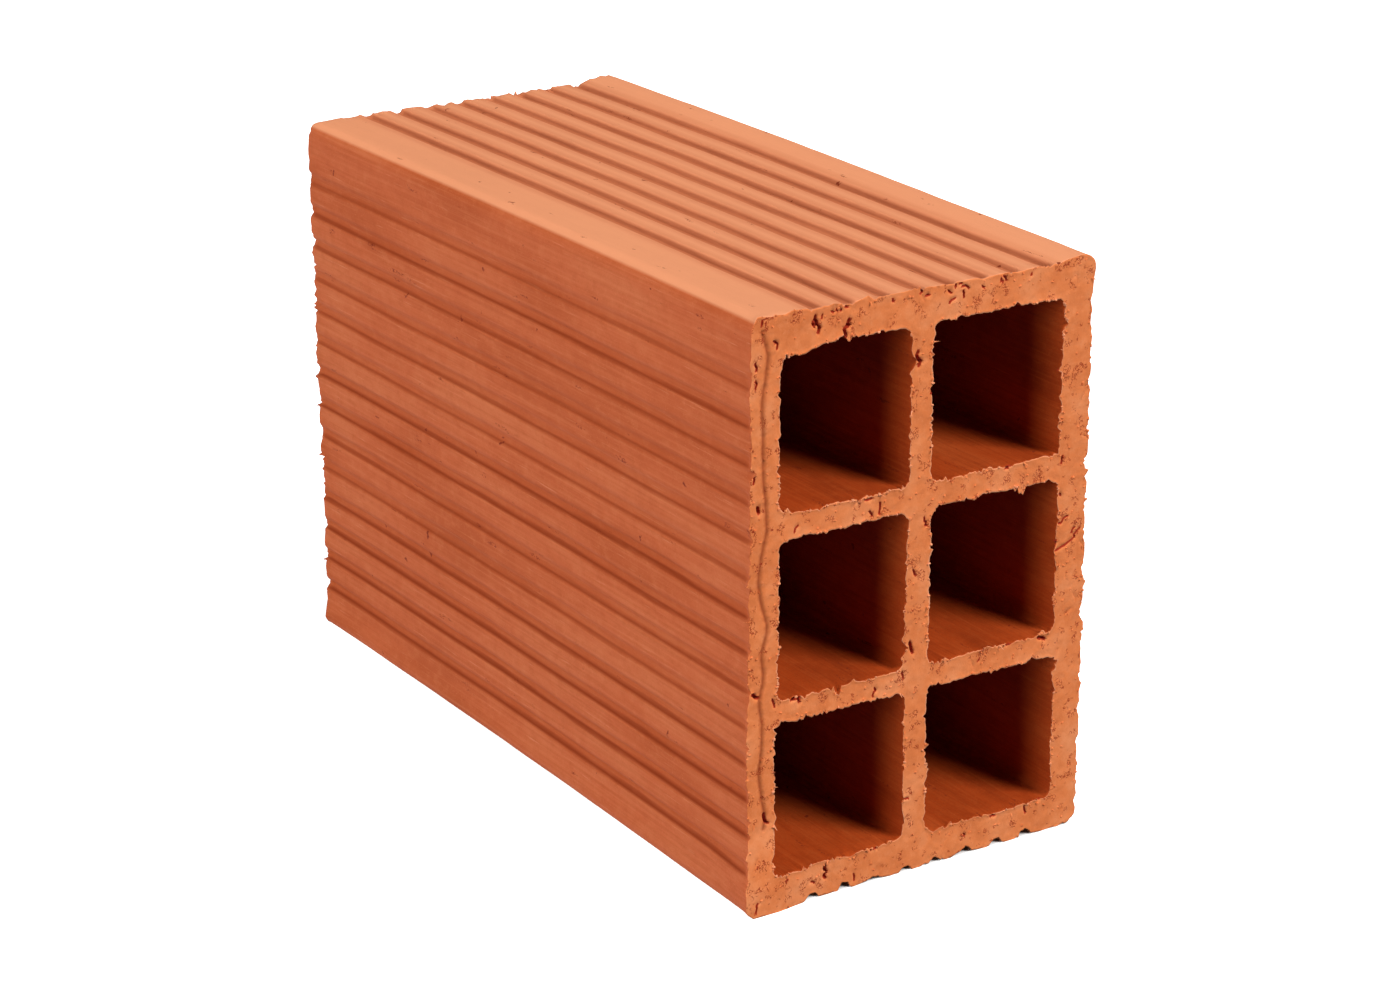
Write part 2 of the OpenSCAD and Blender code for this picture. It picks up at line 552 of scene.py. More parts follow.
@dataclass
class Brick:
    """The whole brick.

    Attributes:
        low: Lowest corner of the brick in millimetres.
        high: Highest corner of the brick in millimetres.
        cells: Each cell's lowest and highest corner as (y, z) pairs in millimetres.
        edge_radius: Radius of the four long edges.
        cell_radius: Radius of the cells' corners.
        groove_depth: Depth of a groove.
        groove_mouth: Width of a groove at the surface.
        groove_floor: Width of a groove at its bottom.
        bed_pitch: Distance between grooves on a bed face.
        bottom_pitch: The same on the bottom bed face, where they came out a little closer.
        bed_land: Smooth band on a bed face beside its last groove.
        bed_grooves: Number of grooves on a bed face.
        side_pitch: Distance between grooves on a tall side.
        side_land: Smooth band on a tall side before its first groove.
        side_grooves: Number of grooves on a tall side.
        press_reach: How deep in the clay a groove still moves the vertices of an end.
        outer_steps: Distances of the outer vertex rings from an end, close together there.
        outer_step: Distance between the other outer rings.
        core_steps: Distances of a cell's vertex rings from an end.
        core_step: Distance between the other rings of a cell.
        rim_step: Distance between vertices along a cell's rim.
        cap_step: Distance between vertices on an end.
        outer_rim: How far the wire left the outer rim wandering, and its number of small chips.
        cell_rim: The same for the rim of each cell.
        ring: Distance of a ring of vertices on an end from the rim beside it.
        tear_fade: How fast the torn rims run out along the brick.
        far_drift: Drift of the front end's far side inwards, at its top, middle and foot.
        skin_drift: The same at the outer surface, where the wall stayed thicker.
        near_drift: Drift of its near side outwards, from a third down, two thirds down and its foot.
        askew: How far the front end's top rises at the near side, and sinks from there across it.
        far_edge: How far the far top edge stands out and up.
        near_edge: How far the near bottom edge is pressed out and down.
        corner: How far the near foot of the front end is drawn out along the brick and sideways.
        seed: Seed of everything random.
    """

    low: np.ndarray
    high: np.ndarray
    cells: list[tuple[np.ndarray, np.ndarray]]
    edge_radius: float = 4.0
    cell_radius: float = 2.5
    groove_depth: float = 1.4
    groove_mouth: float = 5.0
    groove_floor: float = 2.4
    bed_pitch: float = 9.7
    bottom_pitch: float = 9.35
    bed_land: float = 16.0
    bed_grooves: int = 8
    side_pitch: float = 9.35
    side_land: float = 13.0
    side_grooves: int = 14
    press_reach: float = 6.0
    outer_steps: tuple[float, ...] = (0.0, 0.35, 0.9, 1.7, 3.0, 5.0, 8.0, 12.0)
    outer_step: float = 6.5
    core_steps: tuple[float, ...] = (0.0, 0.35, 0.9, 2.0, 5.0)
    core_step: float = 24.0
    rim_step: float = 0.6
    cap_step: float = 0.7
    outer_rim: tuple[float, int] = (0.15, 120)
    cell_rim: tuple[float, int] = (0.18, 34)
    ring: float = 0.4
    tear_fade: float = 1.3
    far_drift: tuple[float, float, float] = (1.5, 2.0, 0.8)
    skin_drift: tuple[float, float, float] = (1.1, 0.7, 0.8)
    near_drift: tuple[float, float, float] = (0.0, 0.9, 0.4)
    askew: tuple[float, float] = (0.7, 1.05)
    far_edge: tuple[float, float] = (0.9, 1.3)
    near_edge: tuple[float, float] = (1.3, 0.9)
    corner: tuple[float, float] = (1.5, 1.6)
    seed: int = 7
    faces: list[LongFace] = field(init=False)
    rng: np.random.Generator = field(init=False)

    def __post_init__(self) -> None:
        """Lay out the four long faces, with like grooves in opposite ones."""
        self.rng = np.random.default_rng(self.seed)
        width, height = self.high[1] - self.low[1], self.high[2] - self.low[2]
        y0, z0, y1, z1 = self.low[1], self.low[2], self.high[1], self.high[2]
        half = self.groove_mouth / 2
        bed_first, side_first = self.bed_land + half, self.side_land + half
        bed_last = width - bed_first - (self.bed_grooves - 1) * self.bed_pitch
        side_last = height - side_first - (self.side_grooves - 1) * self.side_pitch
        bottom = (width, bed_first, self.bottom_pitch, self.bed_grooves)
        top = (width, bed_last, self.bed_pitch, self.bed_grooves)
        far = (height, side_last, self.side_pitch, self.side_grooves)
        near = (height, side_first, self.side_pitch, self.side_grooves)
        self.faces = [
            LongFace((y0, z0), (1, 0), (0, 1), *bottom, 1, 0.0, (1.1, 1.5), True),
            LongFace((y1, z0), (0, 1), (-1, 0), *far, -1, 0.6, (0.75, 1.15), False),
            LongFace((y1, z1), (-1, 0), (0, -1), *top, -1, 0.75, (0.9, 1.05), True),
            LongFace((y0, z1), (0, -1), (1, 0), *near, 1, 0.85, (0.7, 1.1), False),
        ]

    # -- outlines -----------------------------------------------------------------------------

    def outer_loop(self) -> tuple[np.ndarray, np.ndarray]:
        """Walk round the outside of the section, without its grooves.

        Returns:
            The points, and at each the unit direction into the clay.
        """
        points, inward = [], []
        for face, after in zip(self.faces, self.faces[1:] + self.faces[:1]):
            rows = face.rows(self.edge_radius, reach=3.1, step=0.52, widest=2.0)
            start, along = np.array(face.start), np.array(face.along)
            inner, turn = np.array(face.inward), np.array(after.inward)
            points.append(start + rows[:, None] * along)
            inward.append(np.repeat(inner[None], len(rows), 0))
            angles = np.linspace(0, math.pi / 2, 8)[1:-1, None]
            ray = np.cos(angles) * inner + np.sin(angles) * turn
            centre = np.array(after.start) + self.edge_radius * (inner + turn)
            points.append(centre - self.edge_radius * ray)
            inward.append(ray)
        return np.concatenate(points), np.concatenate(inward)

    def cell_loop(self, low: np.ndarray, high: np.ndarray) -> tuple[np.ndarray, np.ndarray]:
        """Walk round one cell.

        Args:
            low: The cell's lowest corner as (y, z).
            high: The cell's highest corner as (y, z).

        Returns:
            The points, and at each the unit direction into the clay.
        """
        radius = self.cell_radius
        corners = [(low[0], low[1]), (high[0], low[1]), (high[0], high[1]), (low[0], high[1])]
        points, outward = [], []
        for index, walk in enumerate(((1, 0), (0, 1), (-1, 0), (0, -1))):
            along = np.array(walk, float)
            out = np.array([walk[1], -walk[0]], float)
            turn = np.array([-out[1], out[0]])
            side = (high - low) @ np.abs(along)
            rows = np.linspace(radius, side - radius, round((side - 2 * radius) / self.rim_step) + 1)
            points.append(np.array(corners[index]) + rows[:, None] * along)
            outward.append(np.repeat(out[None], len(rows), 0))
            angles = np.linspace(0, math.pi / 2, 9)[1:-1, None]
            ray = np.cos(angles) * out + np.sin(angles) * turn
            centre = np.array(corners[(index + 1) % 4]) - radius * (out + turn)
            points.append(centre + radius * ray)
            outward.append(ray)
        return np.concatenate(points), np.concatenate(outward)

    def unevenness(self, points: np.ndarray, wave: float) -> np.ndarray:
        """Make even unevenness along a closed line.

        Args:
            points: The line's points.
            wave: Length over which it changes.

        Returns:
            One value for each point, with a spread of one.
        """
        gaps = np.linalg.norm(np.roll(points, -1, 0) - points, axis=1)
        place = np.concatenate([[0], np.cumsum(gaps)[:-1]])
        bins = max(8, int(gaps.sum() / (wave * 0.5)))
        white = self.rng.standard_normal(bins)
        spots = np.arange(bins + 1) * gaps.sum() / bins
        values = np.interp(place, spots, np.append(white, white[0]))
        return values / values.std()

    def torn_rim(self, points: np.ndarray, into: np.ndarray, ragged: float, chips: int,
                 front: bool) -> np.ndarray:
        """Tear a rim as the wire does.

        Args:
            points: The clean rim.
            into: Unit directions into the clay.
            ragged: How far the rim wanders.
            chips: How many small chips it has.
            front: Whether it is at the front end, with its own larger chips and burrs.

        Returns:
            The torn rim.
        """
        bite = 0.3 + 0.55 * self.unevenness(points, 6.0) ** 2
        offset = ragged * (bite * self.unevenness(points, 0.9) + 0.8 * self.unevenness(points, 5.0))
        spots = [
            (points[self.rng.integers(len(points))], self.rng.uniform(0.3, 0.9),
             self.rng.choice([1.0, 0.8, -0.7]) * self.rng.uniform(0.1, 1.0) ** 1.5 * 0.8)
            for _ in range(chips)
        ]
        for chip in FRONT_CHIPS if front else ():
            gaps = np.linalg.norm(points - self.spot(chip.middle), axis=1)
            if gaps.min() < 2.2:
                spots.append((points[gaps.argmin()], chip.reach, chip.depth))
        for middle, reach, depth in spots:
            near = np.linalg.norm(points - middle, axis=1) / reach
            offset += depth * np.exp(-(near**2))
        return points + offset[:, None] * into

    def spot(self, place: tuple[float, float]) -> np.ndarray:
        """Turn distances from the near face and below the top into (y, z)."""
        return np.array([self.low[1] + place[0], self.high[2] - place[1]])

    # -- the two ends -------------------------------------------------------------------------

    def tears(self, front: bool) -> dict[Width, list[np.ndarray]]:
        """List the tears of one end by their width, each as a line of (y, z) points.

        Args:
            front: Whether this is the front end, with its own larger tears.

        Returns:
            Lines of points for each width.
        """
        lines: dict[Width, list[np.ndarray]] = {width: [] for width in Width}
        span = self.high[1:] - self.low[1:]
        # Small tears anywhere on the end, most of them running down
        for width, count, shortest, longest in (
            (Width.HAIR, 60, 0.8, 3.0), (Width.SMALL, 60 if front else 90, 0.3, 1.4),
            (Width.WIDE, 5 if front else 22, 0.2, 1.9),
        ):
            for _ in range(count):
                start = self.low[1:] + self.rng.random(2) * span
                angle = self.rng.normal(math.pi / 2, 0.6)
                run = self.rng.uniform(shortest, longest) * np.array([math.cos(angle), math.sin(angle)])
                stop = start + run + self.rng.normal(0, 0.25, 2)
                lines[width].append(np.array([start, start + run * 0.55, stop]))
        # Short crooked ones close under the top edge, where the wire came in
        for _ in range(14 if front else 8):
            start = self.spot((self.rng.uniform(3, 97), self.rng.uniform(0.4, 2.6)))
            run = self.rng.normal(0, 0.3, (2, 2))
            lines[Width.SMALL].append(np.array([start, start + run[0], start + run[0] + run[1]]))
        if front:
            for tear in FRONT_TEARS:
                start, run = self.spot(tear.start), np.array([tear.run[0], -tear.run[1]])
                line = start + np.linspace(0, 1, 5)[:, None] * run
                line[1:] += self.rng.normal(0, 0.09 * np.linalg.norm(run), (4, 2))
                lines[tear.width].append(line)
        # The seam, where two streams of clay met behind the cores of the die
        drops = np.linspace(3.5, 128.0, 60) if front else np.linspace(30.0, 96.0, 32)
        sway = self.unevenness(np.stack([drops, np.zeros(len(drops))], 1), 12.0)
        inset = 4.1 + 0.55 * sway + 0.4 * np.sin(drops / 5.5)
        inset = inset if front else self.high[1] - self.low[1] - inset
        lines[Width.SEAM].append(np.array([self.spot((y, drop)) for y, drop in zip(inset, drops)]))
        return lines

    def inside(self, points: np.ndarray, loop: np.ndarray) -> np.ndarray:
        """Say which points lie inside a closed line.

        Args:
            points: The points to test.
            loop: The closed line.

        Returns:
            True for each point inside.
        """
        after = np.roll(loop, -1, 0)
        rise = after[:, 1] - loop[:, 1]
        slope = (after[:, 0] - loop[:, 0]) / np.where(rise == 0, 1e-9, rise)
        result = []
        for part in np.array_split(points, max(1, len(points) // 2000)):
            y, z = part[:, :1], part[:, 1:]
            crosses = (loop[None, :, 1] > z) != (after[None, :, 1] > z)
            at = loop[:, 0] + (z - loop[None, :, 1]) * slope
            result.append((crosses & (y < at)).sum(1) % 2 == 1)
        return np.concatenate(result)

    def in_clay(self, points: np.ndarray, loops: list[np.ndarray]) -> np.ndarray:
        """Say which points lie inside the outer rim and outside every cell."""
        return self.inside(points, loops[0]) & ~np.any([self.inside(points, c) for c in loops[1:]], 0)

    def cap_points(self, loops: list[np.ndarray], rings: list[np.ndarray],
                   lines: dict[Width, list[np.ndarray]]) -> np.ndarray:
        """Scatter vertices over an end, close together at the rims and the tears.

        Args:
            loops: The outer rim and then the rims of the cells.
            rings: The points just inside each rim.
            lines: The tears of this end.

        Returns:
            The points that lie in the clay.
        """
        step = self.cap_step
        ys = np.arange(self.low[1], self.high[1], step)
        zs = np.arange(self.low[2], self.high[2], step * math.sqrt(3) / 2)
        grid = np.array([(y + (i % 2) * step / 2, z) for i, z in enumerate(zs) for y in ys])
        grid = grid + self.rng.uniform(-0.25, 0.25, grid.shape) * step
        fine = []
        for width, apart, rows in (
            (Width.HAIR, 0.25, 1), (Width.SMALL, 0.2, 2), (Width.WIDE, 0.24, 3), (Width.SEAM, 0.45, 1),
        ):
            for line in lines[width]:
                for a, b in zip(line[:-1], line[1:]):
                    length = max(np.linalg.norm(b - a), 1e-6)
                    side = np.array([a[1] - b[1], b[0] - a[0]]) / length
                    spots = np.linspace(0, 1, max(2, math.ceil(length / 0.3) + 1))[:, None]
                    for shift in range(-rows, rows + 1):
                        fine.append(a + spots * (b - a) + shift * apart * side)
        box = 0.5
        around = [(i, j) for i in (-1, 0, 1) for j in (-1, 0, 1)]
        taken: dict[tuple[int, int], list[np.ndarray]] = {}
        kept = []
        for group, room in ((np.concatenate(loops), 0.0), (np.concatenate(rings), 0.25),
                            (np.concatenate(fine), 0.16), (grid, 0.62 * step)):
            for point in group:
                column, row = int(point[0] // box), int(point[1] // box)
                near = (other for i, j in around for other in taken.get((column + i, row + j), ()))
                if room and any(math.hypot(*(point - other)) < room for other in near):
                    continue
                taken.setdefault((column, row), []).append(point)
                if room:
                    kept.append(point)
        points = np.array(kept)
        return points[self.in_clay(points, loops)]

    def cap(self, loops: list[np.ndarray], extra: np.ndarray) -> np.ndarray:
        """Cover an end with triangles.

        Args:
            loops: The outer rim and then the rims of the cells.
            extra: The points between them.

        Returns:
            Triangles as numbers into the rims' points followed by the extra points, walked
            anticlockwise as seen from the front.
        """
        edges, start = [], 0
        for loop in loops:
            count = len(loop)
            edges += [(start + i, start + (i + 1) % count) for i in range(count)]
            start += count
        points = np.concatenate([*loops, extra])
        result = delaunay_2d_cdt([Vector(p) for p in points], edges, [], 0, 1e-6)
        origin = [group[0] if group else -1 for group in result[3]]
        triangles = np.array([[origin[i] for i in face] for face in result[2] if len(face) == 3])
        triangles = triangles[(triangles >= 0).all(1)]
        triangles = triangles[self.in_clay(points[triangles].mean(1), loops)]
        corners = points[triangles]
        first, second = corners[:, 1] - corners[:, 0], corners[:, 2] - corners[:, 0]
        turned = first[:, 0] * second[:, 1] - first[:, 1] * second[:, 0] < 0
        triangles[turned] = triangles[turned][:, ::-1]
        return triangles

    # -- the blank ----------------------------------------------------------------------------

    def stations(self, ends: tuple[float, ...], step: float) -> np.ndarray:
        """Place the vertex rings along the brick, close together at its two ends.

        Args:
            ends: Distances of the first rings from an end.
            step: Distance between the others.

        Returns:
            Positions along the brick from back to front.
        """
        near = np.array(ends)
        low, high = self.low[0] + near[-1], self.high[0] - near[-1]
        middle = np.linspace(low, high, max(2, round((high - low) / step) + 1))
        return np.concatenate([self.low[0] + near[:-1], middle, (self.high[0] - near[:-1])[::-1]])

    def blank(self) -> tuple[bpy.types.Object, dict[Width, bpy.types.Object]]:
        """Build the brick with plain long faces, its ends torn at the rims.

        Returns:
            The brick, and an object of bare edges for the tears of each width.
        """
        outlines = [self.outer_loop()] + [
            self.cell_loop(low + (shift[0], shift[2]), high + (shift[1], shift[3]))
            for (low, high), shift in zip(self.cells, CORE_SHIFTS)
        ]
        torn = {
            front: [
                self.torn_rim(points, into, *(self.cell_rim if index else self.outer_rim), front)
                for index, (points, into) in enumerate(outlines)
            ]
            for front in (True, False)
        }
        vertices, quads, regions = [], [], []
        rims: dict[bool, list[np.ndarray]] = {True: [], False: []}
        total = 0
        for index, (points, _) in enumerate(outlines):
            outer = index == 0
            ends, step = (self.outer_steps, self.outer_step) if outer else (self.core_steps, self.core_step)
            xs = self.stations(ends, step)
            walls = points + sum(
                np.exp(-away / self.tear_fade)[:, None, None] * (torn[front][index] - points)
                for front, away in ((True, self.high[0] - xs), (False, xs - self.low[0]))
            )
            count = len(points)
            grid = np.concatenate([np.repeat(xs[:, None, None], count, 1), walls], 2)
            numbers = total + np.arange(len(xs) * count).reshape(len(xs), count)
            after = np.roll(numbers, -1, 1)
            strip = np.stack([numbers[:-1], after[:-1], after[1:], numbers[1:]], -1).reshape(-1, 4)
            quads.append(strip if outer else strip[:, ::-1])
            regions.append(np.full(len(strip), Region.SKIN if outer else Region.CORE))
            rims[True].append(numbers[-1])
            rims[False].append(numbers[0])
            vertices.append(grid.reshape(-1, 3))
            total += len(vertices[-1])
        triangles = []
        lines = {front: self.tears(front) for front in (True, False)}
        for front in (True, False):
            loops = torn[front]
            rings = [loop + self.ring * into for loop, (_, into) in zip(loops, outlines)]
            extra = self.cap_points(loops, rings, lines[front])
            flat = self.cap(loops, extra)
            flat = np.concatenate([*rims[front], total + np.arange(len(extra))])[flat]
            triangles.append(flat if front else flat[:, ::-1])
            end = self.high[0] if front else self.low[0]
            vertices.append(np.column_stack([np.full(len(extra), end), extra]))
            total += len(extra)
        quads, triangles, vertices = (np.concatenate(part) for part in (quads, triangles, vertices))
        regions = np.concatenate([*regions, np.full(len(triangles), Region.CUT)])
        fields = self.vertex_fields(vertices, torn)
        vertices = self.drifted(vertices)
        mesh = bpy.data.meshes.new("fired_brick")
        mesh.from_pydata((vertices * MM).tolist(), [], quads.tolist() + triangles.tolist())
        store = mesh.attributes.new("region", "INT", "FACE")
        store.data.foreach_set("value", regions.astype(np.int32))
        for name, values in fields.items():
            vector = values.ndim == 2
            store = mesh.attributes.new(name, "FLOAT_VECTOR" if vector else "FLOAT", "POINT")
            store.data.foreach_set("vector" if vector else "value", values.astype(np.float32).ravel())
        brick = bpy.data.objects.new("fired_brick", mesh)
        bpy.context.scene.collection.objects.link(brick)
        return brick, {width: self.tear_lines(width, lines) for width in Width}

    def drifted(self, points: np.ndarray) -> np.ndarray:
        """Let the front end drift off square, as the wire pulled the soft clay.

        Args:
            points: Points of the square brick.

        Returns:
            The points where they came to lie: at the front end the far side up to 2 mm inwards,
            the near side up to 1 mm out, the top a little askew and the near foot drawn out. All
            along, the far top edge stands up a little and the near bottom edge is pressed sharper.
        """
        to_front = self.high[0] - points[:, 0]
        share = np.clip(1 - to_front / (self.high[0] - self.low[0]), 0, 1)
        share = share**2 * (3 - 2 * share)
        across = (points[:, 1] - self.low[1]) / (self.high[1] - self.low[1])
        rise = (points[:, 2] - self.low[2]) / (self.high[2] - self.low[2])
        skin = np.clip((across - 0.92) / 0.06, 0, 1)
        far = (1 - skin) * np.interp(1 - rise, (0, 0.53, 1), self.far_drift)
        far += skin * np.interp(1 - rise, (0, 0.53, 1), self.skin_drift)
        near = np.interp(1 - rise, (0.33, 0.67, 1), self.near_drift)
        far_top = np.clip((across - 0.88) / 0.08, 0, 1) * np.clip((rise - 0.93) / 0.05, 0, 1)
        corner = np.clip((0.2 - across) / 0.1, 0, 1) * np.clip((0.14 - rise) / 0.1, 0, 1)
        corner *= np.exp(-((to_front / 14) ** 2))
        near_foot = np.clip(1 - across / 0.07, 0, 1) * np.clip(1 - rise / 0.06, 0, 1) * (1 - corner)
        moved = points.copy()
        moved[:, 0] += self.corner[0] * corner
        moved[:, 1] += self.far_edge[0] * far_top - share * (across * far + (1 - across) * near)
        moved[:, 1] -= self.near_edge[0] * near_foot + self.corner[1] * corner
        moved[:, 2] += self.far_edge[1] * far_top - self.near_edge[1] * near_foot
        moved[:, 2] += share * rise * (self.askew[0] - self.askew[1] * across)
        return moved

    def vertex_fields(self, vertices: np.ndarray,
                      torn: dict[bool, list[np.ndarray]]) -> dict[str, np.ndarray]:
        """Work out where each vertex lies on its long face and near its end.

        Args:
            vertices: All vertices of the blank.
            torn: The torn rims of the front and back ends.

        Returns:
            across: Distance from the middle of the nearest groove towards its steep wall, in metres.
            groove: A number for that groove.
            press: How much of the groove's depth a vertex takes.
            inward: Unit direction into the clay from that face.
            cut: One at an end and nought away from it.
            bed: One on a bed face.
            lip: One on the rims of the cells, where the wire drew up a thin burr, and where the finish paints
                a highlight.
        """
        section = vertices[:, 1:]
        depths = np.stack([(section - face.start) @ face.inward for face in self.faces], 1)
        nearest = depths.argmin(1)
        to_front, to_back = self.high[0] - vertices[:, 0], vertices[:, 0] - self.low[0]
        count = len(vertices)
        across, groove, smear, bed, share = (np.zeros(count) for _ in range(5))
        inward = np.zeros((count, 3))
        # The first groove of a side is shallower; the pale bloom and painted sheen thin out in the grooves
        first_share, groove_bloom = 0.65, 0.75
        # How far from the ends the wire smeared the grooves, and how wide its burr is
        front_smear, back_smear, lip_reach = 1.4, 1.2, 0.3
        for index, face in enumerate(self.faces):
            here = nearest == index
            along = (section[here] - face.start) @ face.along
            number = np.clip(np.round((along - face.first) / face.pitch), 0, face.count - 1)
            off = along - face.first - number * face.pitch
            across[here] = off * MM * face.steep
            groove[here] = number + 20 * index
            luck = self.rng.uniform(0.75, 1.1, face.count)[number.astype(int)]
            smear[here] = np.clip(face.smear * luck, 0, 1)
            depth = self.rng.uniform(*face.depths, face.count)
            depth[0] *= 1.0 if face.bed else first_share
            share[here] = depth[number.astype(int)]
            bed[here] = face.bed * np.clip((self.edge_radius * 0.7 - depths.min(1)[here]) / 1.5, 0, 1)
            bed[here] *= np.where(np.abs(off) > face.pitch * 0.45, 1, groove_bloom)
            inward[here, 1:] = face.inward
        press = share * np.clip(1 - depths.min(1) / self.press_reach, 0, 1)
        press *= 1 - smear * np.exp(-((to_front / front_smear) ** 2))
        press *= 1 - 0.4 * np.exp(-((to_back / back_smear) ** 2))
        to_end = np.minimum(to_front, to_back)
        lip = np.zeros(count)
        for front, away in ((True, to_front), (False, to_back)):
            for index, loop in enumerate(torn[front]):
                height = 0.35 if index == 0 else 1.0
                here = np.flatnonzero((away < 1.0) & (section > loop.min(0) - 1).all(1)
                                      & (section < loop.max(0) + 1).all(1))
                for part in np.array_split(here, max(1, len(here) // 2000)):
                    gap = np.linalg.norm(section[part][:, None] - loop[None], axis=2).min(1)
                    reach = np.hypot(gap, away[part])
                    lip[part] = np.maximum(lip[part], height * np.exp(-((reach / lip_reach) ** 2)))
        return {"across": across, "groove": groove, "press": press, "inward": inward,
                "cut": np.exp(-to_end / self.tear_fade), "bed": bed, "lip": lip}

    def tear_lines(self, width: Width, lines: dict[bool, dict[Width, list[np.ndarray]]]) -> bpy.types.Object:
        """Make an object of bare edges for the tears of one width.

        Args:
            width: The width.
            lines: The lines of the front and back ends by width.

        Returns:
            The object.
        """
        points, edges = [], []
        for front, x in ((True, self.high[0]), (False, self.low[0])):
            for line in lines[front][width]:
                edges += [(len(points) + i, len(points) + i + 1) for i in range(len(line) - 1)]
                spots = self.drifted(np.column_stack([np.full(len(line), x), line]))
                points += (spots * MM).tolist()
        mesh = bpy.data.meshes.new(width.name.lower())
        mesh.from_pydata(points, edges, [])
        tear = bpy.data.objects.new(mesh.name, mesh)
        bpy.context.scene.collection.objects.link(tear)
        return tear

    def build(self) -> bpy.types.Object:
        """Build and dress the brick.

        Returns:
            The finished piece.
        """
        brick, tears = self.blank()
        materials = [DIE_SKIN.build(), WIRE_CUT.build(), SHADED_CELL_WALL.build()]
        for material in materials:
            brick.data.materials.append(material)
        run_tree(brick, Relief(self).build(materials), {
            f"{width.name.title()} tears": lines for width, lines in tears.items()
        })
        for lines in tears.values():
            bpy.data.objects.remove(lines)
        places = np.empty(3 * len(brick.data.vertices), np.float32)
        brick.data.vertices.foreach_get("co", places)
        # Its own weight pressed flat what the wire drew below the foot
        places[2::3] = np.maximum(places[2::3], 0.0)
        brick.data.vertices.foreach_set("co", places)
        brick.data.shade_smooth()
        return brick


